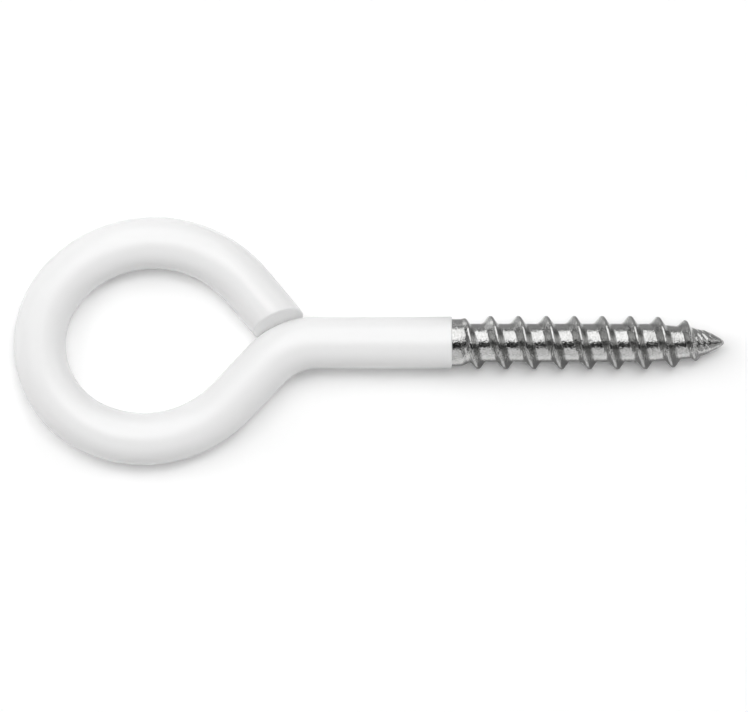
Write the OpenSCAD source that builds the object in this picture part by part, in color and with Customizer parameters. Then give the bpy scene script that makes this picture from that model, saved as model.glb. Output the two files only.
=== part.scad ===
// Coated screw eye. One steel wire carries a rolled wood-screw thread on its straight end and is
// bent at the other into a pear-shaped eye, whose cut end seats under the bend that starts it.
// A white plastic coat covers the wire from the thread to the cut end.
//
// The origin is on the screw's axis where the coat ends. +X runs to the point, the eye lies at -X,
// and +Z is up, out of the eye. Bends are given as the outside of the coat shows them.

/* [Wire and coat] */
// Diameter of the bare steel wire
wire_d = 5.3; // [4.6:0.1:5.8]
// Thickness of the plastic coat
coat_t = 0.28; // [0.15:0.01:0.5]
// Bevel round the open edge of the coat
coat_edge = 0.1; // [0.05:0.01:0.15]

/* [Shank] */
// Straight coated length between the eye's bend and the end of the coat
shank_l = 15.15; // [10:0.05:40]
// Bare plain wire that shows between the coat and the thread
blank_l = 0.95; // [0.5:0.05:6]

/* [Eye] */
// Inside radius of the two flanks of the eye
flank_in_r = 10.8; // [9.5:0.1:16]
// Inside radius of the nose, at the far end of the eye
nose_in_r = 7.45; // [6:0.05:9]
// Inside radius of the bend that leads from the shank into the eye
bend_in_r = 5; // [3:0.1:7]
// Turn of the first flank, from the leg to the nose
flank_turn = 69; // [60:1:80]
// Turn of the nose
nose_turn = 110; // [90:1:120]
// Angle between the screw's axis and the leg that leads into the eye
leg_angle = 46.5; // [44:0.5:55]
// Angle between the screw's axis and the leg that ends the eye
end_angle = 50; // [45:0.5:55]
// Distance from the screw's axis to the middle of the eye, across the eye
eye_offset = 0.2; // [-1:0.05:1]

/* [Cut end] */
// Slope of the cut face from upright
cut_slope = 24; // [15:1:35]
// Turn of the cut face from square to the wire, seen from above
cut_skew = 13; // [0:1:20]
// Gap between the cut face and the underside of the bend
cut_gap = 0.03; // [0.01:0.01:0.3]

/* [Thread] */
// Length from the end of the coat to the point
screw_l = 30.67; // [24:0.1:80]
// Outside diameter of the thread
thread_d = 6; // [5.9:0.05:7]
// Diameter of the flat root between the turns
root_d = 4.28; // [3.4:0.02:4.5]
// Distance from turn to turn
pitch = 3.145; // [2.6:0.005:4]
// Width of the flat crest
crest_w = 0.25; // [0.1:0.01:0.4]
// Length along the screw of the flank that faces the eye
back_flank = 0.72; // [0.4:0.01:0.9]
// Length along the screw of the flank that faces the point
front_flank = 0.58; // [0.4:0.01:0.9]
// Height by which the two edges of the crest are rolled over
crest_round = 0.07; // [0:0.01:0.15]
// Place of the first crest, from the start of the thread
first_crest = 0.4; // [0:0.05:2]
// Length over which the root sinks from the plain wire
root_run_in = 1.3; // [0.8:0.1:2]
// Length over which the crest rises from the plain wire
crest_run_in = 3.2; // [1.5:0.1:5]

/* [Point] */
// Length over which the root narrows ahead of the point
taper_l = 4.9; // [3:0.1:7]
// Length of the point
point_l = 3.6; // [3:0.1:6]
// Diameter of the root where the point starts
point_d = 3.5; // [2.6:0.05:3.8]
// Roundness of the point: 1 is a straight cone, less is fuller
point_power = 0.72; // [0.5:0.01:1]
// Power by which the thread's height fades along the point
fade_power = 1.3; // [1:0.05:2]
// Diameter of the blunt tip
tip_d = 0.28; // [0.1:0.01:0.4]
// Length of the blunt tip
tip_l = 0.1; // [0.05:0.01:0.2]
// Height of the thread where it runs out at the tip
tip_thread_h = 0.06; // [0.02:0.01:0.1]

/* [Hidden] */

// Facets round a round section and round a full turn of a bend
$fn = 48;

// Facets in one turn of the thread, and the smallest step between its rows
turn_facets = 48;
row_snap = 0.06;

// Balls join the pieces of formed bar: how far they stand out of its skin, and how far short of
// a ball's middle each bend stops
ball_bead = 0.01;
ball_gap = 0.05;

steel_colour = [0.72, 0.73, 0.75];
coat_colour = [0.96, 0.96, 0.95];

// Radii of the wire, the coat, and of the centreline in each bend
wire_r = wire_d / 2;
coat_r = wire_r + coat_t;
flank_r = flank_in_r + coat_r;
nose_r = nose_in_r + coat_r;
bend_r = bend_in_r + coat_r;

// Headings of the centreline, seen from above: 180 is away from the point
nose_from = 180 + leg_angle - flank_turn;
nose_to = nose_from - nose_turn;
end_heading = -end_angle;

// Move across the plan of an arc that turns right from one heading to another
function arc_move(r, from, to) = r * [sin(from) - sin(to), cos(to) - cos(from)];

// Size of the eye across its centreline, and how far its lowest side lies from the screw's axis
eye_across = arc_move(flank_r, 180, nose_from)[1] + arc_move(nose_r, nose_from, nose_to)[1]
    + arc_move(flank_r, nose_to, 0)[1];
low_side = eye_across / 2 - eye_offset;

// The eye lies lower than the shank by this much, so that its sloping cut tucks under the bend.
// The first bend and the first flank slant down to that level about the screw's axis.
eye_drop = coat_r * tan(cut_slope / 2);
slant = atan2(eye_drop, low_side);
slant_side = norm([low_side, eye_drop]);

// Straight leg between the bend and the first flank, which sets the low side at its distance
leg_l = (slant_side - (bend_r + flank_r) * (1 - cos(leg_angle))) / sin(leg_angle);

// Start of the straight end, after the last arc of the eye
low_x = -shank_l - (bend_r + flank_r) * sin(leg_angle) - leg_l * cos(leg_angle);
end_plan = [low_x, -low_side] + arc_move(flank_r, 180, nose_from)
    + arc_move(nose_r, nose_from, nose_to) + arc_move(flank_r, nose_to, end_heading);
end_start = [end_plan[0], end_plan[1], -eye_drop];
end_way = [cos(end_heading), sin(end_heading), 0];

// The cut face looks back along this direction, away from the bend that it meets
cut_heading = end_heading - cut_skew;
cut_back = -[cos(cut_slope) * cos(cut_heading), cos(cut_slope) * sin(cut_heading), sin(cut_slope)];

// Furthest reach of the coated bend in that direction, and the length that brings the cut to it
bend_across = [0, cos(slant), sin(slant)];
bend_reach = norm([cut_back[0], cut_back * bend_across]) * bend_r
    + cut_back * ([-shank_l, 0, 0] - bend_r * bend_across) + coat_r;
end_l = (bend_reach + cut_gap - end_start * cut_back) / (end_way * cut_back);

// Spare length that the sloping cut takes off, and the size of the block that cuts it
cut_spare = coat_r * (tan(cut_slope) + tan(cut_skew)) + coat_t;
cut_block = 6 * coat_r;

// Forming of the wire from the end of the coat: [roll, feed, bend radius, turn to the left]
FORMING = [
    [-slant, shank_l, bend_r, leg_angle],
    [0, leg_l, flank_r, -leg_angle],
    [slant, 0, flank_r, nose_from - 180],
    [0, 0, nose_r, -nose_turn],
    [0, 0, flank_r, end_heading - nose_to],
];

// Thread: radii, heights and places along the screw
major_r = thread_d / 2;
root_r = root_d / 2;
thread_h = major_r - root_r;
point_x = screw_l - point_l;
taper_x = point_x - taper_l;
fade_x = screw_l - point_l - pitch / 2;
start_x = blank_l;
stop_x = screw_l - tip_l;

// Step down from the plain wire to the start of the thread
start_step = 0.02;

// Stub of the thread that is buried in the plain wire
stub_l = 0.7;
stub_r = root_r;

// One turn of the thread: [place from the crest's middle, share of the thread's height]
crest_edge = 1 - crest_round / thread_h;
RIDGE = [
    [-crest_w / 2 - back_flank, 0],
    [-crest_w / 2, crest_edge],
    [0, 1],
    [crest_w / 2, crest_edge],
    [crest_w / 2 + front_flank, 0],
];
ridge_rows = len(RIDGE);
turns = ceil((screw_l - start_x) / pitch) + 2;
rows = turns * ridge_rows;

// Smooth step from 0 to 1
function ease(t) = t <= 0 ? 0 : t >= 1 ? 1 : t * t * (3 - 2 * t);

// Radius of the root along the screw: plain wire, flat root, taper, point
function run_in(x, l) = ease((x - start_x) / l);
function point_share(x) = max(0, min(1, (stop_x - x) / (stop_x - point_x)));
function body_r(x) = x < taper_x ? root_r
    : x < point_x ? root_r + (point_d / 2 - root_r) * (x - taper_x) / taper_l
    : tip_d / 2 + (point_d - tip_d) / 2 * pow(point_share(x), point_power);
function valley_r(x) = wire_r + (body_r(x) - wire_r) * run_in(x, root_run_in);

// Height of the thread over the root: it rises at the run-in and fades on the point
function fade(x) = x < fade_x ? thread_h
    : tip_thread_h + (thread_h - tip_thread_h) * pow(max(0, (stop_x - x) / (stop_x - fade_x)), fade_power);
function crest_r(x) = x < taper_x ? wire_r + (major_r - wire_r) * run_in(x, crest_run_in)
    : body_r(x) + fade(x);

// Place of a row along the screw, at one of the facets round it
function row_x(facet, row) = start_x + first_crest
    + pitch * (floor(row / ridge_rows) - 1 + facet / turn_facets) + RIDGE[row % ridge_rows][0];
function thread_point(facet, row) =
    let (
        x = max(start_x, min(stop_x, row_x(facet, row))),
        r = valley_r(x) + (crest_r(x) - valley_r(x)) * RIDGE[row % ridge_rows][1],
        angle = 360 * facet / turn_facets,
        is_start = row_x(facet, row) <= start_x + row_snap,
        is_stop = row_x(facet, row) >= stop_x - row_snap,
        end_r = is_start ? wire_r - start_step : is_stop ? tip_d / 2 : r,
        end_x = is_start ? start_x + row_snap / 2 : is_stop ? stop_x : x
    )
    [end_x, end_r * cos(angle), end_r * sin(angle)];

// First and last rows that are clear of the two ends of the thread
function first_row(facet) = [for (row = [0:rows - 1]) if (row_x(facet, row) > start_x + row_snap) row][0];
function last_row(facet) = len([for (row = [0:rows - 1]) if (row_x(facet, row) < stop_x - row_snap) row]) - 1;
FIRST = [for (facet = [0:turn_facets - 1]) first_row(facet)];
LAST = [for (facet = [0:turn_facets - 1]) last_row(facet)];

// Number of the point at a facet and row, where the turn closes one pitch further on
function thread_index(facet, row) = facet == turn_facets
    ? thread_index(0, row + ridge_rows)
    : facet * rows + max(FIRST[facet] - 1, min(LAST[facet] + 1, row));

// A ring of points round the screw's axis
function ring(x, r) = [for (facet = [0:turn_facets - 1])
    [x, r * cos(360 * facet / turn_facets), r * sin(360 * facet / turn_facets)]];

// Pushes one straight piece of round bar along +X
module feed_bar(r, l) {
    if (l > 0) {
        rotate([0, 90, 0]) cylinder(h = l, r = r);
    }
}

// One bend of round bar that starts along +X and turns left, or right if turn is negative.
// It stops short of its turn by the gap that a ball fills.
module bend_bar(r, radius, turn) {
    side = turn < 0 ? 1 : 0;
    mirror([0, side, 0])
        translate([0, radius, 0])
            rotate([0, 0, -90])
                rotate_extrude(angle = abs(turn) - ball_gap / radius * 180 / PI)
                    translate([radius, 0])
                        circle(r = r);
}

// Ball that joins a bend to the next piece, with its poles inside the bar
module joint_ball(r) {
    rotate([0, 90, 0]) sphere(r = r + ball_bead);
}

// Carries its children to the end of a bend
module past_bend(radius, turn) {
    side = turn < 0 ? -1 : 1;
    translate([0, side * radius, 0])
        rotate([0, 0, turn])
            translate([0, -side * radius, 0])
                children();
}

// Straight end of the bar, whose sloping cut is set back from the outer one
module cut_end(r, set_back) {
    difference() {
        feed_bar(r, end_l + cut_spare);
        translate([end_l, 0, 0])
            rotate([0, 0, -cut_skew])
                rotate([0, -cut_slope, 0])
                    translate([-set_back, -cut_block / 2, -cut_block / 2])
                        cube(cut_block);
    }
}

// Bar formed step by step, as a wire is bent: roll, feed, bend, and at last the cut end
module form_bar(r, set_back, step = 0) {
    if (step == len(FORMING)) {
        cut_end(r, set_back);
    } else {
        roll = FORMING[step][0];
        feed = FORMING[step][1];
        radius = FORMING[step][2];
        turn = FORMING[step][3];
        rotate([roll, 0, 0]) {
            feed_bar(r, feed);
            translate([feed, 0, 0]) {
                bend_bar(r, radius, turn);
                past_bend(radius, turn) {
                    joint_ball(r);
                    form_bar(r, set_back, step + 1);
                }
            }
        }
    }
}

// Formed bar of any radius, from the end of the coat to its cut
module eye_bar(r, set_back) {
    rotate([0, 0, 180]) form_bar(r, set_back);
}

// Root, thread and point in one closed surface, with a stub inside the plain wire
module screw_thread() {
    grid = [for (facet = [0:turn_facets - 1], row = [0:rows - 1]) thread_point(facet, row)];
    stub_face = len(grid);
    tip = stub_face + turn_facets;
    points = concat(grid, ring(start_x - stub_l, stub_r), [[screw_l, 0, 0]]);
    skin = [for (facet = [0:turn_facets - 1], row = [-ridge_rows:rows - 1])
        let (
            a = thread_index(facet, row),
            b = thread_index(facet, row + 1),
            c = thread_index(facet + 1, row + 1),
            d = thread_index(facet + 1, row)
        )
        each [
            if (a != b && b != c && a != c) [a, b, c],
            if (a != c && c != d && a != d) [a, c, d],
        ]];
    stub = [for (facet = [0:turn_facets - 1])
        let (next = (facet + 1) % turn_facets)
        each [
            [stub_face + facet, facet * rows + FIRST[facet] - 1, next * rows + FIRST[next] - 1],
            [stub_face + facet, next * rows + FIRST[next] - 1, stub_face + next],
        ]];
    point = [for (facet = [0:turn_facets - 1])
        let (next = (facet + 1) % turn_facets)
        [facet * rows + LAST[facet] + 1, tip, next * rows + LAST[next] + 1]];
    stub_end = [for (facet = [0:turn_facets - 1]) stub_face + facet];
    polyhedron(points = points, faces = concat(skin, stub, point, [stub_end]), convexity = 10);
}

// The whole steel wire: eye, shank, plain wire and screw
module steel_wire() {
    color(steel_colour) {
        eye_bar(wire_r, coat_t);
        feed_bar(wire_r, blank_l);
        screw_thread();
    }
}

// Ring that bevels the open edge of the coat
module edge_cutter() {
    rotate([0, -90, 0])
        rotate_extrude()
            polygon([
                [coat_r - coat_edge, 0],
                [coat_r - coat_edge, -coat_edge],
                [coat_r + 2 * coat_edge, -coat_edge],
                [coat_r + 2 * coat_edge, 3 * coat_edge],
            ]);
}

// The plastic coat: a shell over the wire, closed over its cut end and open at the thread
module white_coating() {
    color(coat_colour)
        difference() {
            eye_bar(coat_r, 0);
            eye_bar(wire_r, coat_t);
            edge_cutter();
        }
}

steel_wire();
white_coating();
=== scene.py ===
"""Look of a coated screw eye: a formed and threaded steel wire in a white plastic coat.

Lengths are in millimetres until a mesh is made, and the meshes are in metres. The origin is on the
screw's axis where the coat ends. +X runs to the point, the eye lies at -X, and +Z is up, out of it.
"""

import logging
from dataclasses import dataclass, field
from math import atan, atan2, ceil, cos, degrees, hypot, inf, pi, radians, sin, tan, tau
from typing import Callable

import bmesh
import bpy
from mathutils import Matrix, Vector

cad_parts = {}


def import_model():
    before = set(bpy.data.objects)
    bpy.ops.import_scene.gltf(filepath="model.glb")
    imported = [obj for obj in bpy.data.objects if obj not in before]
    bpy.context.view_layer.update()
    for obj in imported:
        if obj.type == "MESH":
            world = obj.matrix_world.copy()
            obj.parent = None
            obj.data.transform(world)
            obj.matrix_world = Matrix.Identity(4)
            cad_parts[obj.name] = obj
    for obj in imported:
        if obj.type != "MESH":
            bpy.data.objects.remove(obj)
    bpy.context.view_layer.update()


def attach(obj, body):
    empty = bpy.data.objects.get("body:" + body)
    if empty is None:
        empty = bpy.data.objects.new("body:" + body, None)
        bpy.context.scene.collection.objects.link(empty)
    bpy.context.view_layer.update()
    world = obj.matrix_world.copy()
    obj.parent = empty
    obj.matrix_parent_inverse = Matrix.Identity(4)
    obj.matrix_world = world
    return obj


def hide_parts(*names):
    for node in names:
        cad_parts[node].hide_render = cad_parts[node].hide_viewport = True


LOG = logging.getLogger("screw_eye")
MM = 0.001

# Without a window the spin operator turns the other way
SPIN_SIGN = -1

# Power of an area lamp of radiance 1, in watts a square metre
AREA_WATTS = pi
BODY = "root"

# How far past an open rim its edges are still picked, in millimetres
SLACK = 0.01

# Vertices this near to each other, or to a plane that cuts them, are one, in metres
DOUBLES = 1e-7
SEAM_DOUBLES = 2e-7
PLANE_DOUBLES = 1e-8

# Sockets of the Mix node that hold its two colours and its result
MIX_UNDER, MIX_OVER, MIX_RESULT = 6, 7, 2

Material = bpy.types.Material
Object = bpy.types.Object
Socket = bpy.types.NodeSocket
Colour = tuple[float, float, float]
Range = tuple[float, float]
UNIT: Range = (0.0, 1.0)


# ---------- tools for edit mode


def deselect_all() -> None:
    """Leaves object mode with nothing selected."""
    if bpy.context.object and bpy.context.object.mode != "OBJECT":
        bpy.ops.object.mode_set(mode="OBJECT")
    bpy.ops.object.select_all(action="DESELECT")


def activate(obj: Object) -> None:
    """Makes one object the active one and adds it to what is selected."""
    obj.select_set(True)
    bpy.context.view_layer.objects.active = obj


def edit_mode(obj: Object) -> None:
    """Enters edit mode on one object alone, with all of it selected."""
    deselect_all()
    activate(obj)
    bpy.ops.object.mode_set(mode="EDIT")
    bpy.ops.mesh.select_all(action="SELECT")


def pick_rim(obj: Object, low: float, high: float = inf) -> None:
    """Selects the open edges that lie in a range of X, and nothing else.

    Args:
        obj: The object in edit mode.
        low: Where the range starts, in millimetres.
        high: Where it stops.
    """
    bpy.ops.mesh.select_all(action="DESELECT")
    bpy.ops.mesh.select_mode(type="EDGE")
    mesh = bmesh.from_edit_mesh(obj.data)
    for edge in mesh.edges:
        if edge.is_boundary and all(low < v.co.x / MM < high for v in edge.verts):
            edge.select_set(True)
    mesh.select_flush_mode()
    bmesh.update_edit_mesh(obj.data)


def close_up(obj: Object, angle: float) -> None:
    """Merges doubles, turns all faces outwards and shades by angle.

    Args:
        obj: The closed mesh.
        angle: The angle between faces, in degrees, up to which an edge looks smooth.
    """
    edit_mode(obj)
    bpy.ops.mesh.remove_doubles(threshold=DOUBLES)
    bpy.ops.mesh.normals_make_consistent(inside=False)
    bpy.ops.object.mode_set(mode="OBJECT")
    bpy.ops.object.shade_smooth_by_angle(angle=radians(angle))
    deselect_all()


def next_ring(obj: Object, place: Callable[[Vector], Vector]) -> None:
    """Extrudes the selected ring and sets each new vertex by a rule.

    Args:
        obj: The object in edit mode.
        place: Gives a vertex's new place from its old one, in millimetres.
    """
    bpy.ops.mesh.extrude_region_move(TRANSFORM_OT_translate={"value": (0, 0, 0)})
    mesh = bmesh.from_edit_mesh(obj.data)
    for vertex in mesh.verts:
        if vertex.select:
            vertex.co = place(vertex.co / MM) * MM
    bmesh.update_edit_mesh(obj.data)


def on_axis(place: Vector, x: float, radius: float) -> Vector:
    """The place at another place's angle, on the ring of a radius round the screw's axis at X."""
    out = place.yz.normalized() * radius
    return Vector((x, out.x, out.y))


def join(obj: Object, other: Object) -> None:
    """Joins another object into one.

    Args:
        obj: The object that stays.
        other: The object that becomes part of it.
    """
    deselect_all()
    activate(other)
    activate(obj)
    bpy.ops.object.join()


def finish_piece(obj: Object, node: str, material: Material) -> None:
    """Dresses a piece and ties it to the frame.

    Args:
        obj: The finished object.
        node: The solid that it stands for.
        material: The finish.
    """
    obj.data.materials.clear()
    obj.data.materials.append(material)
    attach(obj, BODY)
    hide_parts(node)
    LOG.info("%s: %d faces", obj.name, len(obj.data.polygons))


# ---------- sizes of the formed wire


@dataclass(frozen=True)
class Bend:
    """One step of forming: roll the wire, feed it, then bend it.

    Attributes:
        roll: Turn of the wire about its own line, in degrees.
        feed: Straight length ahead of the bend.
        radius: Radius of the centreline in the bend.
        turn: Turn to the left, in degrees.
        steps: Facets along the bend.
    """

    roll: float
    feed: float
    radius: float
    turn: float
    steps: int


def arc_move(radius: float, start: float, stop: float) -> Vector:
    """Move in X and Y along an arc that turns right between two headings in degrees."""
    a, b = radians(start), radians(stop)
    return Vector((sin(a) - sin(b), cos(b) - cos(a), 0)) * radius


@dataclass(frozen=True)
class WireForm:
    """Sizes of the eye and shank, measured on the outside of the coat."""

    wire_r: float = 2.65
    coat_t: float = 0.28
    shank_l: float = 15.15
    flank_in_r: float = 10.8
    nose_in_r: float = 7.45
    bend_in_r: float = 5.0
    flank_turn: float = 69.0
    nose_turn: float = 110.0
    leg_angle: float = 46.5
    end_angle: float = 50.0
    eye_offset: float = 0.2
    cut_slope: float = 24.0
    cut_skew: float = 13.0
    cut_gap: float = 0.03
    bend_steps: int = 22
    leg_steps: int = 24
    side_steps: int = 12
    nose_steps: int = 48
    end_steps: int = 50

    @property
    def coat_r(self) -> float:
        """Radius of the coated wire."""
        return self.wire_r + self.coat_t

    @property
    def flank_r(self) -> float:
        """Centreline radius of the flanks."""
        return self.flank_in_r + self.coat_r

    @property
    def nose_r(self) -> float:
        """Centreline radius of the nose."""
        return self.nose_in_r + self.coat_r

    @property
    def bend_r(self) -> float:
        """Centreline radius of the bend at the shank."""
        return self.bend_in_r + self.coat_r

    @property
    def nose_from(self) -> float:
        """Heading where the nose starts, in degrees."""
        return 180 + self.leg_angle - self.flank_turn

    @property
    def nose_to(self) -> float:
        """Heading where the nose ends, in degrees."""
        return self.nose_from - self.nose_turn

    @property
    def low_side(self) -> float:
        """Distance of the first flank's lowest point from the screw's axis."""
        across = (
            arc_move(self.flank_r, 180, self.nose_from)
            + arc_move(self.nose_r, self.nose_from, self.nose_to)
            + arc_move(self.flank_r, self.nose_to, 0)
        ).y
        return across / 2 - self.eye_offset

    @property
    def eye_drop(self) -> float:
        """How much lower the eye lies than the shank."""
        return self.coat_r * tan(radians(self.cut_slope) / 2)

    @property
    def slant(self) -> float:
        """Slant of the first bend about the screw's axis, in degrees."""
        return degrees(atan2(self.eye_drop, self.low_side))

    @property
    def leg_l(self) -> float:
        """Straight leg between the bend and the first flank."""
        a = radians(self.leg_angle)
        side = hypot(self.low_side, self.eye_drop)
        return (side - (self.bend_r + self.flank_r) * (1 - cos(a))) / sin(a)

    @property
    def end_start(self) -> Vector:
        """Centre of the wire where its straight end starts."""
        a = radians(self.leg_angle)
        x = -self.shank_l - (self.bend_r + self.flank_r) * sin(a) - self.leg_l * cos(a)
        place = Vector((x, -self.low_side, -self.eye_drop))
        place += arc_move(self.flank_r, 180, self.nose_from)
        place += arc_move(self.nose_r, self.nose_from, self.nose_to)
        return place + arc_move(self.flank_r, self.nose_to, -self.end_angle)

    @property
    def end_way(self) -> Vector:
        """Heading of the straight end."""
        a = radians(self.end_angle)
        return Vector((cos(a), -sin(a), 0))

    @property
    def cut_at(self) -> Vector:
        """Middle of the cut face."""
        return self.end_start + self.end_way * self.end_l

    @property
    def cut_back(self) -> Vector:
        """Direction square to the cut face that points back into the wire."""
        slope, turn = radians(self.cut_slope), radians(-self.end_angle - self.cut_skew)
        flat = cos(slope)
        return -Vector((flat * cos(turn), flat * sin(turn), sin(slope)))

    @property
    def end_l(self) -> float:
        """Length of the straight end along its centreline, up to the cut."""
        slant = radians(self.slant)
        across = Vector((0, cos(slant), sin(slant)))
        back = self.cut_back
        middle = Vector((-self.shank_l, 0, 0)) - self.bend_r * across
        reach = hypot(back.x, back.dot(across)) * self.bend_r + back.dot(middle) + self.coat_r
        return (reach + self.cut_gap - self.end_start.dot(back)) / self.end_way.dot(back)

    @property
    def bends(self) -> list[Bend]:
        """Forming steps from the end of the coat."""
        end_turn = self.nose_to + self.end_angle
        return [
            Bend(-self.slant, self.shank_l, self.bend_r, self.leg_angle, self.bend_steps),
            Bend(0, self.leg_l, self.flank_r, -self.leg_angle, self.leg_steps),
            Bend(self.slant, 0, self.flank_r, self.nose_from - 180, self.side_steps),
            Bend(0, 0, self.nose_r, -self.nose_turn, self.nose_steps),
            Bend(0, 0, self.flank_r, -end_turn, self.end_steps),
        ]


@dataclass
class Former:
    """Forms a tube from a ring of edges, step by step, as a wire is bent.

    Attributes:
        form: Sizes of the wire.
        start: Place on the screw's axis where the first ring lies.
    """

    form: WireForm
    start: float = 0.0
    place: Vector = field(init=False)
    turned: Matrix = field(init=False)

    def __post_init__(self) -> None:
        """Starts at the first ring, heading for the eye."""
        self.place = Vector((self.start, 0, 0))
        self.turned = Matrix.Rotation(pi, 3, "Z")

    def feed(self, length: float, steps: int) -> None:
        """Extrudes the selected ring straight on.

        Args:
            length: How far.
            steps: Number of equal extrusions.
        """
        move = self.turned @ Vector((length, 0, 0))
        for _ in range(steps):
            bpy.ops.mesh.extrude_region_move(TRANSFORM_OT_translate={"value": move * MM / steps})
        self.place += move

    def bend(self, step: Bend) -> None:
        """Spins the selected ring round one bend.

        Args:
            step: The bend, whose roll is applied first.
        """
        side = 1 if step.turn > 0 else -1
        centre = self.place + self.turned @ Vector((0, side * step.radius, 0))
        axis = self.turned @ Vector((0, 0, 1))
        angle = radians(step.turn)
        bpy.ops.mesh.spin(steps=step.steps, angle=SPIN_SIGN * angle, center=centre * MM, axis=axis)
        spun = Matrix.Rotation(angle, 3, axis)
        self.place = centre + spun @ (self.place - centre)
        self.turned = spun @ self.turned

    def run(self, straight_step: float) -> None:
        """Forms the whole eye, up to its straight end.

        Args:
            straight_step: Longest extrusion in a straight part.
        """
        spare = self.start
        for step in self.form.bends:
            self.turned = self.turned @ Matrix.Rotation(radians(step.roll), 3, "X")
            length = step.feed + spare
            spare = 0
            if length > 0:
                self.feed(length, max(1, ceil(length / straight_step)))
            self.bend(step)


@dataclass
class FormedTube:
    """A skin of any radius over the formed wire, open at the screw and closed at the cut.

    Attributes:
        form: Sizes of the wire.
        radius: Radius of the skin.
        facets: Facets round it.
        start: Place of its open end on the screw's axis.
        set_back: How far its cut lies behind the coat's own.
        rim: Rounding of the rim of the cut face.
        straight_step: Longest facet in a straight part.
        rim_steps: Facets across the rounding.
        end_steps: Facets along the straight end.
        face_shares: Places of the rings on the cut face, from its rim to its middle.
    """

    form: WireForm
    radius: float
    facets: int
    start: float
    set_back: float
    rim: float
    straight_step: float = 0.8
    rim_steps: int = 6
    end_steps: int = 9
    face_shares: tuple[float, ...] = (0.05, 0.5, 0.85)

    def build(self, name: str) -> Object:
        """Forms the tube and closes its cut end.

        Args:
            name: Name of the object.

        Returns:
            The tube, with its open ring at the start.
        """
        deselect_all()
        bpy.ops.mesh.primitive_circle_add(
            vertices=self.facets, radius=self.radius * MM, location=(self.start * MM, 0, 0),
            rotation=(0, pi / 2, 0),
        )
        obj = bpy.context.object
        obj.name = obj.data.name = name
        bpy.ops.object.transform_apply(location=True, rotation=True, scale=True)
        edit_mode(obj)
        former = Former(self.form, self.start)
        former.run(self.straight_step)
        self.close_end(obj, former)
        return obj

    def close_end(self, obj: Object, former: Former) -> None:
        """Runs the straight end up to the sloping cut, rounds its rim and fills the face.

        Args:
            obj: The tube in edit mode, with its last ring selected.
            former: What has formed the tube so far.
        """
        form = self.form
        way, back, start = form.end_way, form.cut_back, former.place.copy()
        across, up = former.turned.col[1], former.turned.col[2]
        cut_at = form.cut_at + back * self.set_back
        middle = start + way * ((cut_at - start).dot(back) / way.dot(back))

        def corner(place: Vector) -> Vector:
            """The cut's corner that lies on a vertex's line along the wire."""
            out = place - start
            angle = atan2(out.dot(up), out.dot(across))
            line = start + self.radius * (cos(angle) * across + sin(angle) * up)
            return line + way * ((cut_at - line).dot(back) / way.dot(back))

        for step in range(1, self.end_steps + 1):
            share = step / self.end_steps

            def along(place: Vector) -> Vector:
                """The vertex's place on the straight end."""
                tip = corner(place) - way * self.rim
                foot = tip - way * (tip - start).dot(way)
                return foot.lerp(tip, share)

            next_ring(obj, along)
        for step in range(1, self.rim_steps + 1):
            angle = pi / 2 * step / self.rim_steps

            def rounded(place: Vector) -> Vector:
                """The vertex's place on the rounded rim."""
                at = corner(place)
                inward = (middle - at).normalized()
                down, aside = self.rim * (1 - sin(angle)), self.rim * (1 - cos(angle))
                return at - way * down + inward * aside

            next_ring(obj, rounded)
        for share in self.face_shares:
            next_ring(obj, lambda place: place.lerp(middle, share))
        bpy.ops.mesh.edge_face_add()


@dataclass
class Coat:
    """The white plastic coat over the eye and the shank."""

    form: WireForm
    facets: int = 96
    edge_round: float = 0.14
    edge_steps: int = 5
    cut_round: float = 0.16
    bore_round: float = 0.16 / 6
    smooth_angle: float = 40.0

    def build(self) -> Object:
        """Makes the coat as a shell, open at the thread.

        Returns:
            The coat's object.
        """
        form = self.form
        outside = FormedTube(form, form.coat_r, self.facets, -self.edge_round, 0, self.cut_round)
        inside = FormedTube(form, form.wire_r, self.facets, 0, form.coat_t, self.bore_round)
        bore = inside.build("coat_bore")
        obj = outside.build("plastic_coat")
        self.round_edge(obj)
        join(obj, bore)
        close_up(obj, self.smooth_angle)
        return obj

    def dress(self, obj: Object) -> None:
        """Gives the coat its plastic and ties it to the frame."""
        plastic = WhitePlastic(self.form.cut_at, -self.form.cut_back)
        finish_piece(obj, "white_coating", plastic.material())

    def round_edge(self, obj: Object) -> None:
        """Rounds the open edge of the coat, down to the bare wire.

        Args:
            obj: The outer skin.
        """
        edit_mode(obj)
        pick_rim(obj, -self.edge_round - SLACK)
        top = self.form.coat_r - self.edge_round
        for step in range(1, self.edge_steps + 1):
            angle = pi / 2 * step / self.edge_steps
            x = self.edge_round * (sin(angle) - 1)
            radius = top + self.edge_round * cos(angle)
            next_ring(obj, lambda place: on_axis(place, x, radius))
        next_ring(obj, lambda place: on_axis(place, 0, self.form.wire_r))


def clamp(share: float) -> float:
    """Holds a share between 0 and 1."""
    return min(1.0, max(0.0, share))


def ease(share: float) -> float:
    """Smooth step from 0 to 1."""
    share = clamp(share)
    return share * share * (3 - 2 * share)


# Rows of one turn: shares of a flat, a fillet and a flank, and the crest's places with their heights
FLAT_ROWS = (0.0, 0.3, 0.6, 0.85, 1.0)
FILLET_ROWS = (0.25, 0.5)
FLANK_ROWS = (0.2, 0.35, 0.5, 0.65, 0.8, 0.93)
CREST_ROWS = ((-1.0, 0.975), (-0.8, 0.997), (-0.4, 1.0), (0.4, 1.0), (0.8, 0.997), (1.0, 0.975))


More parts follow.
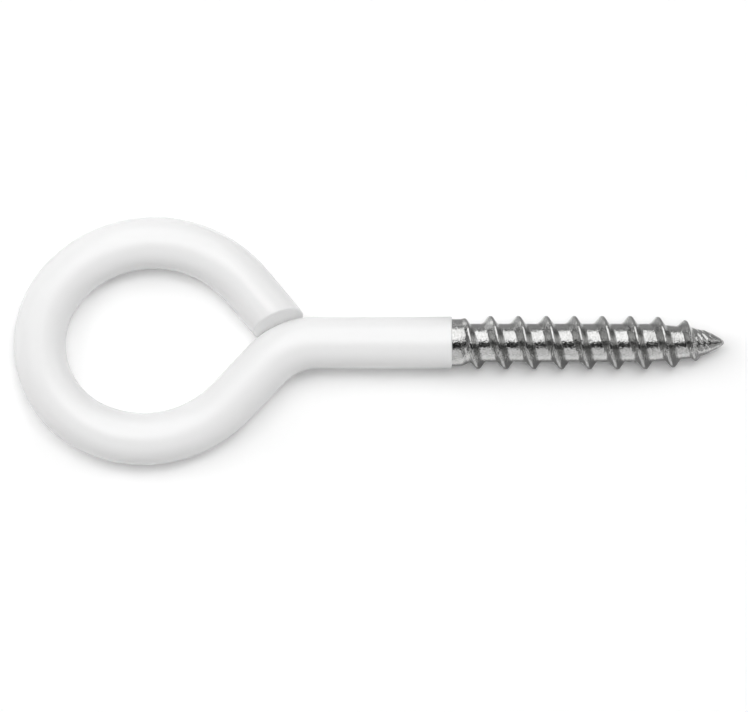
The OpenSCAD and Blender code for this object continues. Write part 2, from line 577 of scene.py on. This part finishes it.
@dataclass(frozen=True)
class ThreadForm:
    """Sizes of the thread, from the bare wire to the point."""

    screw_l: float = 30.67
    thread_r: float = 3.0
    root_r: float = 2.14
    pitch: float = 3.145
    start: float = 0.95
    first_crest: float = 1.35
    crest_half: float = 0.13
    back_flank: float = 0.74
    front_flank: float = 0.6
    fillet: float = 0.16
    root_run_in: float = 1.3
    crest_run_in: float = 3.2
    taper_l: float = 4.9
    point_l: float = 3.6
    point_r: float = 1.75
    point_power: float = 0.64
    tip_r: float = 0.14
    tip_l: float = 0.1
    tip_thread_h: float = 0.06
    fade_from: float = 25.5
    fade_to: float = 29.3
    pull: float = 0.7
    pull_from: float = 26.2
    pull_run: float = 2.8
    fold_from: float = 27.2
    fold_to: float = 29.6
    fold_h: float = 0.045
    fold_gap: float = 0.62
    fold_lead: float = 5.4
    lean: float = 0.1
    lean_shift: float = -0.06
    lean_in: float = 1.5
    lean_out: float = 2.0

    @property
    def profile(self) -> list[tuple[float, float]]:
        """One turn of the thread: place from the crest's middle, and share of its height."""
        half, crest = self.pitch / 2, self.crest_half
        back, front = crest + self.back_flank, crest + self.front_flank
        flat_back, flat_front = half - back - self.fillet, half - front - self.fillet
        rows = [(-half + flat_back * t, 0.0) for t in FLAT_ROWS]
        rise = self.fillet / self.back_flank
        rows += [(-back - self.fillet * (1 - 2 * t), rise * t * t) for t in FILLET_ROWS]
        rows += [(-back + self.back_flank * t, t) for t in FLANK_ROWS]
        rows += [(crest * t, height) for t, height in CREST_ROWS]
        rows += [(front - self.front_flank * t, t) for t in reversed(FLANK_ROWS)]
        rise = self.fillet / self.front_flank
        rows += [(front + self.fillet * (1 - 2 * t), rise * t * t) for t in reversed(FILLET_ROWS)]
        return rows + [(half - flat_front * t, 0.0) for t in reversed(FLAT_ROWS)]

    @property
    def stop(self) -> float:
        """Where the dome of the tip starts."""
        return self.screw_l - self.tip_l

    @property
    def point_x(self) -> float:
        """Where the point starts."""
        return self.screw_l - self.point_l

    def core(self, x: float) -> float:
        """Radius of the root along the taper and the point, for a place on the axis."""
        past = x - self.point_x + self.taper_l
        if past < 0:
            return self.root_r
        if x < self.point_x:
            return self.root_r + (self.point_r - self.root_r) * past / self.taper_l
        share = clamp((self.stop - x) / (self.stop - self.point_x))
        return self.tip_r + (self.point_r - self.tip_r) * share ** self.point_power

    def valley(self, x: float, wire_r: float) -> float:
        """Radius between the turns, which sinks from the bare wire."""
        return wire_r + (self.core(x) - wire_r) * ease((x - self.start) / self.root_run_in)

    def crest(self, x: float, wire_r: float) -> float:
        """Radius over the turns, which rises from the bare wire and fades on the point."""
        if x < self.point_x - self.taper_l:
            left = max(0.0, 1 - (x - self.start) / self.crest_run_in)
            return wire_r + (self.thread_r - wire_r) * (1 - left * left)
        height = self.thread_r - self.root_r - self.tip_thread_h
        fade = ease((self.fade_to - x) / (self.fade_to - self.fade_from))
        return self.core(x) + self.tip_thread_h + height * fade

    def folds(self, x: float, angle: float) -> float:
        """Height of the slanted folds that the pinched point keeps, for a place and an angle."""
        way = (x - self.fold_from) / (self.fold_to - self.fold_from)
        phase = (x - self.fold_lead * angle / tau) / self.fold_gap
        return self.fold_h * sin(pi * clamp(way)) * cos(tau * phase)


@dataclass
class SteelWire:
    """The one steel wire: eye, shank, bare stretch, thread and point."""

    form: WireForm
    thread: ThreadForm
    facets: int = 144
    eye_facets: int = 48
    eye_start: float = -1.5
    end_round: float = 0.05
    end_rim_steps: int = 2
    sheet_r: float = 1.0
    spare_turns: int = 2
    tip_steps: int = 6
    bare_shares: tuple[float, ...] = (0.75, 0.5, 0.25, 0.0)
    bare_stop: float = -0.4
    smooth_angle: float = 35.0

    def build(self) -> Object:
        """Makes the wire as one closed skin.

        Returns:
            The wire's object.
        """
        form = self.form
        eye = FormedTube(
            form, form.wire_r, self.eye_facets, self.eye_start, form.coat_t, self.end_round,
            rim_steps=self.end_rim_steps,
        ).build("wire_eye")
        obj = self.roll_thread()
        self.shape_thread(obj)
        self.close_tip(obj)
        self.bare_stretch(obj)
        join(obj, eye)
        edit_mode(obj)
        pick_rim(obj, self.eye_start - SLACK, 0.0)
        bpy.ops.mesh.bridge_edge_loops()
        close_up(obj, self.smooth_angle)
        return obj

    def dress(self, obj: Object) -> None:
        """Gives the wire its plated steel and ties it to the frame."""
        finish_piece(obj, "steel_wire", PlatedSteel().material())

    def roll_thread(self) -> Object:
        """Screws one turn's profile into a sheet, whose radius tells each row's share of the height.

        Returns:
            The sheet, trimmed at the bare wire and at the tip.
        """
        thread = self.thread
        deselect_all()
        first = thread.first_crest - self.spare_turns * thread.pitch
        bpy.ops.mesh.primitive_plane_add(size=MM)
        obj = bpy.context.object
        obj.name = obj.data.name = "threaded_wire"
        edit_mode(obj)
        bpy.ops.mesh.merge(type="CENTER")
        rows = thread.profile
        mesh = bmesh.from_edit_mesh(obj.data)
        place, share = rows[0]
        mesh.verts[:][0].co = Vector((first + place, self.sheet_r + share, 0)) * MM
        bmesh.update_edit_mesh(obj.data)
        bpy.ops.mesh.select_all(action="SELECT")
        for before, after in zip(rows, rows[1:]):
            move = Vector((after[0] - before[0], after[1] - before[1], 0)) * MM
            bpy.ops.mesh.extrude_vertices_move(TRANSFORM_OT_translate={"value": move})
        turns = ceil((thread.screw_l - first) / thread.pitch) + self.spare_turns
        deselect_all()
        activate(obj)
        screw = obj.modifiers.new("Screw", "SCREW")
        screw.axis, screw.angle, screw.screw_offset = "X", tau, thread.pitch * MM
        screw.iterations, screw.steps, screw.render_steps = turns, self.facets, self.facets
        screw.use_merge_vertices = False
        bpy.ops.object.modifier_apply(modifier=screw.name)
        edit_mode(obj)
        bpy.ops.mesh.remove_doubles(threshold=SEAM_DOUBLES)
        for place, way in ((thread.start, -1), (thread.stop, 1)):
            bpy.ops.mesh.select_all(action="SELECT")
            bpy.ops.mesh.bisect(
                plane_co=(place * MM, 0, 0), plane_no=(way, 0, 0), clear_outer=True, threshold=PLANE_DOUBLES
            )
        bpy.ops.object.mode_set(mode="OBJECT")
        return obj

    def shape_thread(self, obj: Object) -> None:
        """Gives each vertex of the sheet its radius, and leans the turns a little.

        Args:
            obj: The trimmed sheet.
        """
        thread, wire_r, stop = self.thread, self.form.wire_r, self.thread.stop
        for vertex in obj.data.vertices:
            x, radius = vertex.co.x / MM, vertex.co.yz.length / MM
            share = clamp(radius - self.sheet_r)
            angle = atan2(vertex.co.z, vertex.co.y)
            inner = ease((x - thread.start) / thread.lean_in) * ease((stop - x) / thread.lean_out)
            x -= thread.pull * ease((x - thread.pull_from) / thread.pull_run) * ease(stop - x)
            low, high = thread.valley(x, wire_r), thread.crest(x, wire_r)
            real = low + (high - low) * share + thread.folds(x, angle)
            x += (thread.lean_shift - thread.lean * cos(angle)) * inner
            vertex.co = Vector((x, real * cos(angle), real * sin(angle))) * MM

    def close_tip(self, obj: Object) -> None:
        """Closes the point with a small dome.

        Args:
            obj: The thread.
        """
        thread = self.thread
        edit_mode(obj)
        pick_rim(obj, thread.stop - SLACK)
        for step in range(1, self.tip_steps):
            angle = pi / 2 * step / self.tip_steps
            x = thread.screw_l - thread.tip_l * (1 - sin(angle))
            shrink = cos(angle) / cos(angle - pi / 2 / self.tip_steps)
            next_ring(obj, lambda place: on_axis(place, x, place.yz.length * shrink))
        bpy.ops.mesh.edge_face_add()

    def bare_stretch(self, obj: Object) -> None:
        """Extrudes the bare wire from the thread into the coat.

        Args:
            obj: The thread.
        """
        edit_mode(obj)
        start = self.thread.start
        pick_rim(obj, -inf, start + SLACK)
        for x in (*(start * share for share in self.bare_shares), self.bare_stop):
            next_ring(obj, lambda place: on_axis(place, x, self.form.wire_r))


# ---------- finishes


class Nodes:
    """Adds and links shader nodes in one tree."""

    def __init__(self, tree: bpy.types.NodeTree) -> None:
        """Empties the tree of a material, a world or a group."""
        self.tree = tree
        tree.nodes.clear()

    def add(
        self, kind: str, inputs: dict[str | int, object] | None = None, **values: object
    ) -> bpy.types.Node:
        """Adds a node.

        Args:
            kind: The node's type without its ShaderNode prefix.
            inputs: Value, or socket to link from, for each named input.
            **values: Attributes of the node.

        Returns:
            The new node.
        """
        node = self.tree.nodes.new(kind if kind.startswith("Node") else "ShaderNode" + kind)
        for name, value in values.items():
            setattr(node, name, value)
        for name, value in (inputs or {}).items():
            if isinstance(value, Socket):
                self.tree.links.new(value, node.inputs[name])
            else:
                node.inputs[name].default_value = value
        return node

    def math(self, operation: str, *values: object, clamp: bool = False) -> Socket:
        """Adds a Math node and gives its output."""
        return self.add("Math", dict(enumerate(values)), operation=operation, use_clamp=clamp).outputs[0]

    def stretch(self, value: object, span: Range = UNIT, to: tuple[object, object] = UNIT) -> Socket:
        """Maps a range of a value to another range, clamped, and gives the output."""
        return self.add("MapRange", dict(enumerate((value, *span, *to)))).outputs[0]

    def stretch_mm(self, value: object, span: Range, to: Range = UNIT) -> Socket:
        """Maps a range of a length, which is given in millimetres, to another range."""
        return self.stretch(value, (span[0] * MM, span[1] * MM), to)

    def noise(self, place: Socket, **inputs: object) -> Socket:
        """Adds noise at a scale of 1 and gives its output."""
        return self.add("TexNoise", {"Vector": place, "Scale": 1.0, **inputs}).outputs[0]

    def bump(self, height: object, depth: float) -> Socket:
        """Adds a bump of a depth in millimetres and gives its normal."""
        return self.add("Bump", {"Height": height, "Distance": depth * MM, "Strength": 1.0}).outputs[0]

    def blend(self, share: Socket, base: object, colour: Colour) -> Socket:
        """Mixes a colour into a base, which is a colour or a socket, and gives the output."""
        under = (*base, 1) if isinstance(base, tuple) else base
        sockets = {0: share, MIX_UNDER: under, MIX_OVER: (*colour, 1)}
        return self.add("Mix", sockets, data_type="RGBA").outputs[MIX_RESULT]


def new_material(name: str) -> tuple[Material, Nodes]:
    """Makes an empty material.

    Args:
        name: Name of the material.

    Returns:
        The material and the helper that fills it.
    """
    made = bpy.data.materials.new(name)
    made.use_nodes = True
    return made, Nodes(made.node_tree)


# The scuffs are this much larger than the grain
SCUFF_SCALE = 0.17
SCUFF_DETAIL = 5.0
SCUFF_ROUGHNESS = 0.65


@dataclass(frozen=True)
class Marks:
    """Values for the group of fine marks.

    Attributes:
        size: Size of the grain, in millimetres.
        stretch: How many times longer than wide the lines are.
        detail: Octaves of the noise.
    """

    size: float
    stretch: float
    detail: float

    def place(self, nodes: Nodes) -> bpy.types.bpy_prop_collection:
        """Adds the group with these values and gives its outputs."""
        sizes = {"Size": self.size, "Stretch": self.stretch, "Detail": self.detail}
        return nodes.add("Group", sizes, node_tree=surface_marks()).outputs


def surface_marks() -> bpy.types.NodeTree:
    """The group of fine marks that both finishes use, built once.

    Returns:
        A group with the inputs Size, Stretch and Detail, and the outputs Grain, Lines and Scuffs.
    """
    tree = bpy.data.node_groups.get("surface_marks")
    if tree:
        return tree
    tree = bpy.data.node_groups.new("surface_marks", "ShaderNodeTree")
    for way, names in (("INPUT", ("Size", "Stretch", "Detail")), ("OUTPUT", ("Grain", "Lines", "Scuffs"))):
        for name in names:
            tree.interface.new_socket(name, in_out=way, socket_type="NodeSocketFloat")
    nodes = Nodes(tree)
    given = nodes.add("NodeGroupInput").outputs
    place = nodes.add("TexCoord").outputs["Object"]
    per_mm = nodes.math("DIVIDE", 1 / MM, given["Size"])
    even = nodes.add("VectorMath", {0: place, "Scale": per_mm}, operation="SCALE").outputs[0]
    squash = nodes.math("DIVIDE", 1.0, given["Stretch"])
    ways = nodes.add("CombineXYZ", {0: 1.0, 1: squash, 2: squash}).outputs[0]
    drawn = nodes.add("VectorMath", {0: even, 1: ways}, operation="MULTIPLY").outputs[0]
    wide = nodes.add("VectorMath", {0: even, "Scale": SCUFF_SCALE}, operation="SCALE").outputs[0]
    nodes.add("NodeGroupOutput", {
        "Grain": nodes.noise(even, Detail=given["Detail"]),
        "Lines": nodes.noise(drawn, Detail=given["Detail"]),
        "Scuffs": nodes.noise(wide, Detail=SCUFF_DETAIL, Roughness=SCUFF_ROUGHNESS),
    })
    return tree


@dataclass(frozen=True)
class PlatedSteel:
    """Bright plated steel with the fine marks of thread rolling, with painted shade and a painted highlight.

    Places are in millimetres, and a range is where a change starts and ends.

    Attributes:
        flank_share: How much of the dark colour of the painted shade its darkest places take.
        back_share: Painted shade on the back flanks. Those of the crest and the teeth's feet follow.
        ahead: Range of the normal's X on the front flanks.
        behind: The same on the back flanks at -Y.
        leaning: The same on the back flanks at +Y.
        beside: Range of the distance from the middle in which the front flanks' painted shade grows.
        low: Range of Y in which the painted shade at -Y ends.
        crest: Range of the radius in which the crest starts. Specks break up its painted shade.
        foot: Place in Y of the teeth's feet at +Y, which end within foot_reach.
        tops: Range of Y in which the painted highlight on the tops starts.
        point: Range of X in which all painted shade ends.
        scuffed: Range of the noise that makes the scuffs, as specked is for the specks.
        speck_share: Part of the specks in the dull tone, beside the scuffs.
        grain_share: Height of the grain beside that of the lines.
    """

    colour: Colour = (0.66, 0.66, 0.655)
    dull_colour: Colour = (0.46, 0.46, 0.45)
    # Dark colour of the painted shade on the thread
    shade_colour: Colour = (0.27, 0.27, 0.265)
    # Pale colour of the painted highlight on the tops
    highlight_colour: Colour = (0.86, 0.86, 0.85)
    flank_share: float = 0.8
    back_share: float = 0.5
    crest_share: float = 0.75
    foot_share: float = 0.7
    ahead: Range = (0.35, 0.65)
    behind: Range = (-0.65, -0.35)
    leaning: Range = (-0.5, -0.2)
    beside: Range = (0.3, 1.2)
    least_beside: float = 0.3
    low: Range = (-2.0, 1.0)
    crest: Range = (2.6, 2.85)
    specks_on_crest: Range = (0.25, 0.6)
    least_on_crest: float = 0.3
    foot: float = 1.72
    foot_reach: Range = (0.2, 0.45)
    tops: Range = (2.0, 2.35)
    point: Range = (25.0, 27.0)
    roughness: Range = (0.09, 0.2)
    marks: Marks = Marks(0.21, 2.5, 3.0)
    mark_depth: float = 0.065
    scuffed: Range = (0.42, 0.68)
    specked: Range = (0.35, 0.75)
    speck_share: float = 0.6
    grain_share: float = 0.4

    def material(self) -> Material:
        """Makes the material.

        Returns:
            The plated steel.
        """
        made, nodes = new_material("plated_steel")
        marks = self.marks.place(nodes)
        scuffs = nodes.stretch(marks["Scuffs"], self.scuffed)
        specks = nodes.stretch(marks["Grain"], self.specked)
        dull = nodes.math("ADD", nodes.math("MULTIPLY", specks, self.speck_share),
                          nodes.math("MULTIPLY", scuffs, 1 - self.speck_share))
        plate = nodes.blend(dull, self.colour, self.dull_colour)
        shade_mask, tops = self.shade_and_highlight(nodes, specks)
        # Painted shade darkens flanks, crest and teeth's feet; a painted highlight pales the tops
        tint = nodes.blend(tops, nodes.blend(shade_mask, plate, self.shade_colour), self.highlight_colour)
        grain = nodes.math("MULTIPLY", marks["Grain"], self.grain_share)
        height = nodes.math("ADD", marks["Lines"], grain)
        bump = nodes.bump(height, self.mark_depth)
        shader = nodes.add("BsdfPrincipled", {
            "Base Color": tint, "Roughness": nodes.stretch(scuffs, to=self.roughness),
            "Normal": bump, "Metallic": 1.0,
        })
        nodes.add("OutputMaterial", {"Surface": shader.outputs[0]})
        return made

    def shade_and_highlight(self, nodes: Nodes, specks: Socket) -> tuple[Socket, Socket]:
        """Finds where shade and a highlight are painted on the thread, by the normal's direction and the
        place.

        Args:
            nodes: The material's nodes.
            specks: Fine specks, which break up the crest.

        Returns:
            The painted shade of the flanks, crest and feet, and a mask of the painted highlight on the tops.
        """
        given = nodes.add("TexCoord").outputs
        way = nodes.add("SeparateXYZ", {0: given["Normal"]}).outputs["X"]
        place = nodes.add("SeparateXYZ", {0: given["Object"]}).outputs
        # Painted shade on the front flanks, stronger towards the sides
        aside = nodes.stretch_mm(nodes.math("ABSOLUTE", place["Y"]), self.beside, (self.least_beside, 1.0))
        front = nodes.math("MULTIPLY", nodes.stretch(way, self.ahead), aside)
        # Painted shade on the back flanks and the crest towards -Y, away from the light
        low = nodes.stretch_mm(place["Y"], self.low, (1.0, 0.0))
        back = nodes.math("MULTIPLY", nodes.stretch(way, self.behind, (self.back_share, 0.0)), low)
        across = nodes.add("VectorMath", {0: given["Object"], 1: (0, 1, 1)}, operation="MULTIPLY").outputs[0]
        radius = nodes.add("VectorMath", {0: across}, operation="LENGTH").outputs["Value"]
        crest = nodes.math("MULTIPLY", nodes.stretch_mm(radius, self.crest, (0.0, self.crest_share)), low)
        broken = nodes.stretch(specks, self.specks_on_crest, (1.0, self.least_on_crest))
        crest = nodes.math("MULTIPLY", crest, broken)
        # Painted shadow at the feet of the teeth towards +Y
        from_foot = nodes.math("ABSOLUTE", nodes.math("SUBTRACT", place["Y"], self.foot * MM))
        foot = nodes.math("MULTIPLY", nodes.stretch(way, self.leaning, (self.foot_share, 0.0)),
                          nodes.stretch_mm(from_foot, self.foot_reach, (1.0, 0.0)))
        shade_mask = nodes.math("MAXIMUM", nodes.math("MAXIMUM", front, back), nodes.math("MAXIMUM", crest, foot))
        shade_mask = nodes.math("MULTIPLY", shade_mask, nodes.stretch_mm(place["X"], self.point, (self.flank_share, 0.0)))
        # Painted highlight on the tops of the back flanks towards +Y
        tops = nodes.math("MULTIPLY", nodes.stretch(way, self.leaning, (1.0, 0.0)),
                          nodes.stretch_mm(place["Y"], self.tops))
        return shade_mask, tops


@dataclass(frozen=True)
class WhitePlastic:
    """Smooth white plastic with a soft gloss, and painted light that makes its cut face paler.

    Attributes:
        cut_at: Middle of the cut face, in millimetres.
        cut_way: Direction square to the cut face, out of the plastic.
        cut_reach: Distances from the middle between which the cut ends, in millimetres.
        cut_facing: Cosines to that direction between which the cut starts.
    """

    cut_at: Vector
    cut_way: Vector
    cut_reach: Range = (3.8, 4.2)
    cut_facing: Range = (0.85, 0.97)
    colour: Colour = (0.855, 0.855, 0.855)
    worn_colour: Colour = (0.846, 0.846, 0.846)
    # Pale colour of the painted light on the cut face, which sits in shade by the bend
    cut_light_colour: Colour = (0.98, 0.98, 0.98)
    roughness: Range = (0.22, 0.27)
    ior: float = 1.5
    sheen: float = 0.3
    sheen_roughness: float = 0.4
    marks: Marks = Marks(2.2, 1.5, 2.0)
    mark_depth: float = 0.0012
    scuffed: Range = (0.4, 0.7)

    def material(self) -> Material:
        """Makes the material.

        Returns:
            The white plastic.
        """
        made, nodes = new_material("white_plastic")
        marks = self.marks.place(nodes)
        scuffs = nodes.stretch(marks["Scuffs"], self.scuffed)
        skin = nodes.blend(scuffs, self.colour, self.worn_colour)
        # Painted light pales the cut face
        tint = nodes.blend(self.painted_cut_light(nodes), skin, self.cut_light_colour)
        bump = nodes.bump(marks["Grain"], self.mark_depth)
        shader = nodes.add("BsdfPrincipled", {
            "Base Color": tint, "Roughness": nodes.stretch(scuffs, to=self.roughness),
            "Normal": bump, "IOR": self.ior,
            "Sheen Weight": self.sheen, "Sheen Roughness": self.sheen_roughness,
        })
        nodes.add("OutputMaterial", {"Surface": shader.outputs[0]})
        return made

    def painted_cut_light(self, nodes: Nodes) -> Socket:
        """Finds the cut face, which painted light makes paler, by its place and its direction.

        Args:
            nodes: The material's nodes.

        Returns:
            1 on the cut face and 0 elsewhere.
        """
        given = nodes.add("TexCoord").outputs
        facing = nodes.add("VectorMath", {0: given["Normal"], 1: self.cut_way}, operation="DOT_PRODUCT")
        away = nodes.add("VectorMath", {0: given["Object"], 1: self.cut_at * MM}, operation="DISTANCE")
        near = nodes.stretch_mm(away.outputs["Value"], self.cut_reach, (1.0, 0.0))
        return nodes.math("MULTIPLY", near, nodes.stretch(facing.outputs["Value"], self.cut_facing))


# ---------- the studio


@dataclass(frozen=True)
class Lamp:
    """A round soft lamp that faces the origin and that gloss doesn't see.

    Attributes:
        tilt: Its angle from straight up, in degrees.
        turn: The side that it tilts to, as an angle from +X towards +Y, in degrees.
        spread: Its width, as seen from the origin, in degrees.
        radiance: Brightness of its face, where 1 is white.
        distance: Its distance, in millimetres.
    """

    tilt: float
    turn: float
    spread: float
    radiance: float
    distance: float = 1500.0

    def hang(self) -> None:
        """Makes the lamp and turns it to the origin."""
        tilt, turn = radians(self.tilt), radians(self.turn)
        way = Vector((sin(tilt) * cos(turn), sin(tilt) * sin(turn), cos(tilt)))
        lamp = bpy.data.lights.new("lamp", "AREA")
        lamp.shape = "DISK"
        lamp.size = 2 * self.distance * MM * tan(radians(self.spread / 2))
        lamp.energy = self.radiance * AREA_WATTS * pi * (lamp.size / 2) ** 2
        obj = bpy.data.objects.new("lamp", lamp)
        obj.location = way * self.distance * MM
        obj.rotation_euler = way.to_track_quat("Z", "Y").to_euler()
        obj.visible_camera = obj.visible_glossy = False
        bpy.context.scene.collection.objects.link(obj)


@dataclass(frozen=True)
class Card:
    """An even card along X that only gloss sees.

    Attributes:
        name: Its name.
        angles: Its first and last angle, from straight up towards +Y, in degrees.
        reach: Where it starts and ends along X, in millimetres.
        level: Its brightness, where 1 is white.
        distance: Distance from the screw's axis, in millimetres.
    """

    name: str
    angles: Range
    reach: Range
    level: float
    distance: float = 500.0

    def corner(self, angle: float, x: float) -> Vector:
        """The card's corner at an angle and a place along X, in metres."""
        turn = radians(angle)
        return Vector((x, sin(turn) * self.distance, cos(turn) * self.distance)) * MM

    def hang(self) -> None:
        """Makes the card as a plane whose corners are put in place."""
        deselect_all()
        bpy.ops.mesh.primitive_plane_add(size=1)
        obj = bpy.context.object
        obj.name = self.name
        corners = [self.corner(angle, x) for angle in self.angles for x in self.reach]
        for vertex, place in zip(obj.data.vertices, corners):
            vertex.co = place
        made, nodes = new_material(self.name)
        glow = nodes.add("Emission", {"Color": (self.level, self.level, self.level, 1), "Strength": 1.0})
        nodes.add("OutputMaterial", {"Surface": glow.outputs[0]})
        obj.data.materials.append(made)
        obj.visible_camera = obj.visible_diffuse = obj.visible_transmission = obj.visible_shadow = False


# Angles of the light, dark and fill cards, and the reach of those over the object
LIGHT, DARK, FILL = (6.6, 75.0), (-33.0, -2.4), (-90.0, -33.0)
OVER = (-220.0, 220.0)


@dataclass
class Studio:
    """White table, soft light from above, cards for the metal, and the camera straight above.

    Places are in millimetres, and a range is where a change starts and ends.

    Attributes:
        thread_reach: Place in X where the thread touches the table, as eye_reach is for the eye.
        floor_colour: Tone of the table in view. All other rays meet its open tone, and a painted shade in
        two strips beside the thread, which darkens the metal's edges.
        floor_glow: The table's own light in view, which evens out the fall of the lamps' light.
        by_thread: Range of X in which the strips start.
        far_strip: Range of Y in which the far strip starts.
        near_strip: The same for the near strip, which ends within near_strip_end.
        gloss_level: Level of the world in gloss.
    """

    form: WireForm
    thread: ThreadForm
    view_middle: tuple[float, float] = (-8.766, -1.51)
    view_width: float = 84.28
    camera_height: float = 1200.0
    sensor: float = 36.0
    see_to: float = 10.0
    table_size: float = 6.0
    thread_reach: float = 24.0
    eye_reach: float = -20.0
    clearance: float = 0.01
    floor_colour: float = 1.0
    open_tone: float = 0.94
    # Tone of the painted shade in the table's strips, met by all rays but the camera's
    shade_strip_tone: float = 0.33
    floor_glow: float = 0.012
    by_thread: Range = (-5.0, 0.0)
    far_strip: Range = (2.9, 4.6)
    near_strip: Range = (-8.0, -6.5)
    near_strip_end: Range = (-3.0, -1.5)
    gloss_level: float = 0.18
    lamps: tuple[Lamp, ...] = (
        Lamp(0, 0, 14, 12.6), Lamp(16, 120, 16, 6.0), Lamp(16, 60, 16, 9.5),
        Lamp(34, 180, 22, 3.2), Lamp(34, 135, 22, 2.8), Lamp(34, 90, 22, 1.6), Lamp(34, 45, 22, 2.2),
        Lamp(56, 157, 28, 2.3), Lamp(56, 22, 28, 2.2), Lamp(56, 292, 28, 0.8), Lamp(56, 247, 28, 0.3),
        Lamp(78, 180, 24, 1.9), Lamp(78, 135, 24, 1.5), Lamp(78, 45, 24, 1.8), Lamp(80, 300, 24, 2.2),
    )
    cards: tuple[Card, ...] = (
        Card("softbox", LIGHT, OVER, 1.5), Card("dark_ceiling", DARK, OVER, 0.01),
        Card("fill", FILL, OVER, 0.78), Card("end_softbox", LIGHT, (480.0, 820.0), 1.1),
        Card("end_ceiling", DARK, (400.0, 1800.0), 0.02), Card("end_fill", FILL, (350.0, 1800.0), 0.42),
    )

    def build(self) -> None:
        """Makes everything round the object."""
        self.floor()
        self.sky()
        for item in (*self.lamps, *self.cards):
            item.hang()
        self.camera()

    def floor(self) -> None:
        """Makes the table, which touches the eye and the thread."""
        low = -self.form.eye_drop - self.form.coat_r
        rise = (-self.thread.thread_r - low) / (self.thread_reach - self.eye_reach)
        height = low - self.eye_reach * rise - self.clearance
        deselect_all()
        bpy.ops.mesh.primitive_plane_add(
            size=self.table_size, location=(0, 0, height * MM), rotation=(0, -atan(rise), 0)
        )
        obj = bpy.context.object
        obj.name = "table"
        made, nodes = new_material("white_table")
        in_view = nodes.add("LightPath").outputs["Is Camera Ray"]
        # Painted shade in two strips, seen in the metal's reflections
        strips = nodes.stretch(self.strips(nodes), to=(self.open_tone, self.shade_strip_tone))
        white = nodes.stretch(in_view, to=(strips, self.floor_colour))
        matt = nodes.add("BsdfDiffuse", {"Color": white})
        strength = nodes.math("MULTIPLY", in_view, self.floor_glow)
        glow = nodes.add("Emission", {"Color": (1, 1, 1, 1), "Strength": strength})
        both = nodes.add("AddShader", {0: matt.outputs[0], 1: glow.outputs[0]})
        nodes.add("OutputMaterial", {"Surface": both.outputs[0]})
        obj.data.materials.append(made)

    def strips(self, nodes: Nodes) -> Socket:
        """Finds the strips of painted shade on the table, which darken the metal's edges in reflection.

        Args:
            nodes: The table's nodes.

        Returns:
            1 on the strips and 0 elsewhere.
        """
        place = nodes.add("SeparateXYZ", {0: nodes.add("TexCoord").outputs["Object"]}).outputs
        far = nodes.stretch_mm(place["Y"], self.far_strip)
        near = nodes.math("MULTIPLY", nodes.stretch_mm(place["Y"], self.near_strip),
                          nodes.stretch_mm(place["Y"], self.near_strip_end, (1.0, 0.0)))
        return nodes.math("MULTIPLY", nodes.stretch_mm(place["X"], self.by_thread),
                          nodes.math("MAXIMUM", far, near))

    def sky(self) -> None:
        """Makes a world that looks white, stands at a low level in gloss and lights nothing."""
        world = bpy.data.worlds.new("studio")
        bpy.context.scene.world = world
        world.use_nodes = True
        nodes = Nodes(world.node_tree)
        path = nodes.add("LightPath").outputs
        unseen = nodes.math("MULTIPLY", path["Is Glossy Ray"], self.gloss_level)
        in_view = nodes.math("ADD", path["Is Camera Ray"], path["Is Transmission Ray"], clamp=True)
        strength = nodes.stretch(in_view, to=(unseen, 1.0))
        light = nodes.add("Background", {"Color": (1, 1, 1, 1), "Strength": strength})
        nodes.add("OutputWorld", {"Surface": light.outputs[0]})

    def camera(self) -> None:
        """Hangs the camera straight above, with a long lens."""
        data = bpy.data.cameras.new("camera")
        data.sensor_fit = "HORIZONTAL"
        data.sensor_width = self.sensor
        data.lens = self.sensor * self.camera_height / self.view_width
        data.clip_end = self.see_to
        obj = bpy.data.objects.new("camera", data)
        obj.location = Vector((*self.view_middle, self.camera_height)) * MM
        bpy.context.scene.collection.objects.link(obj)
        bpy.context.scene.camera = obj
        bpy.context.scene.view_settings.view_transform = "Standard"


def main() -> None:
    """Builds the object's pieces and the studio."""
    logging.basicConfig(level=logging.INFO, format="%(name)s: %(message)s")
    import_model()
    form, thread = WireForm(), ThreadForm()
    coat = Coat(form)
    coat.dress(coat.build())
    wire = SteelWire(form, thread)
    wire.dress(wire.build())
    Studio(form, thread).build()


if __name__ == "__main__":
    main()
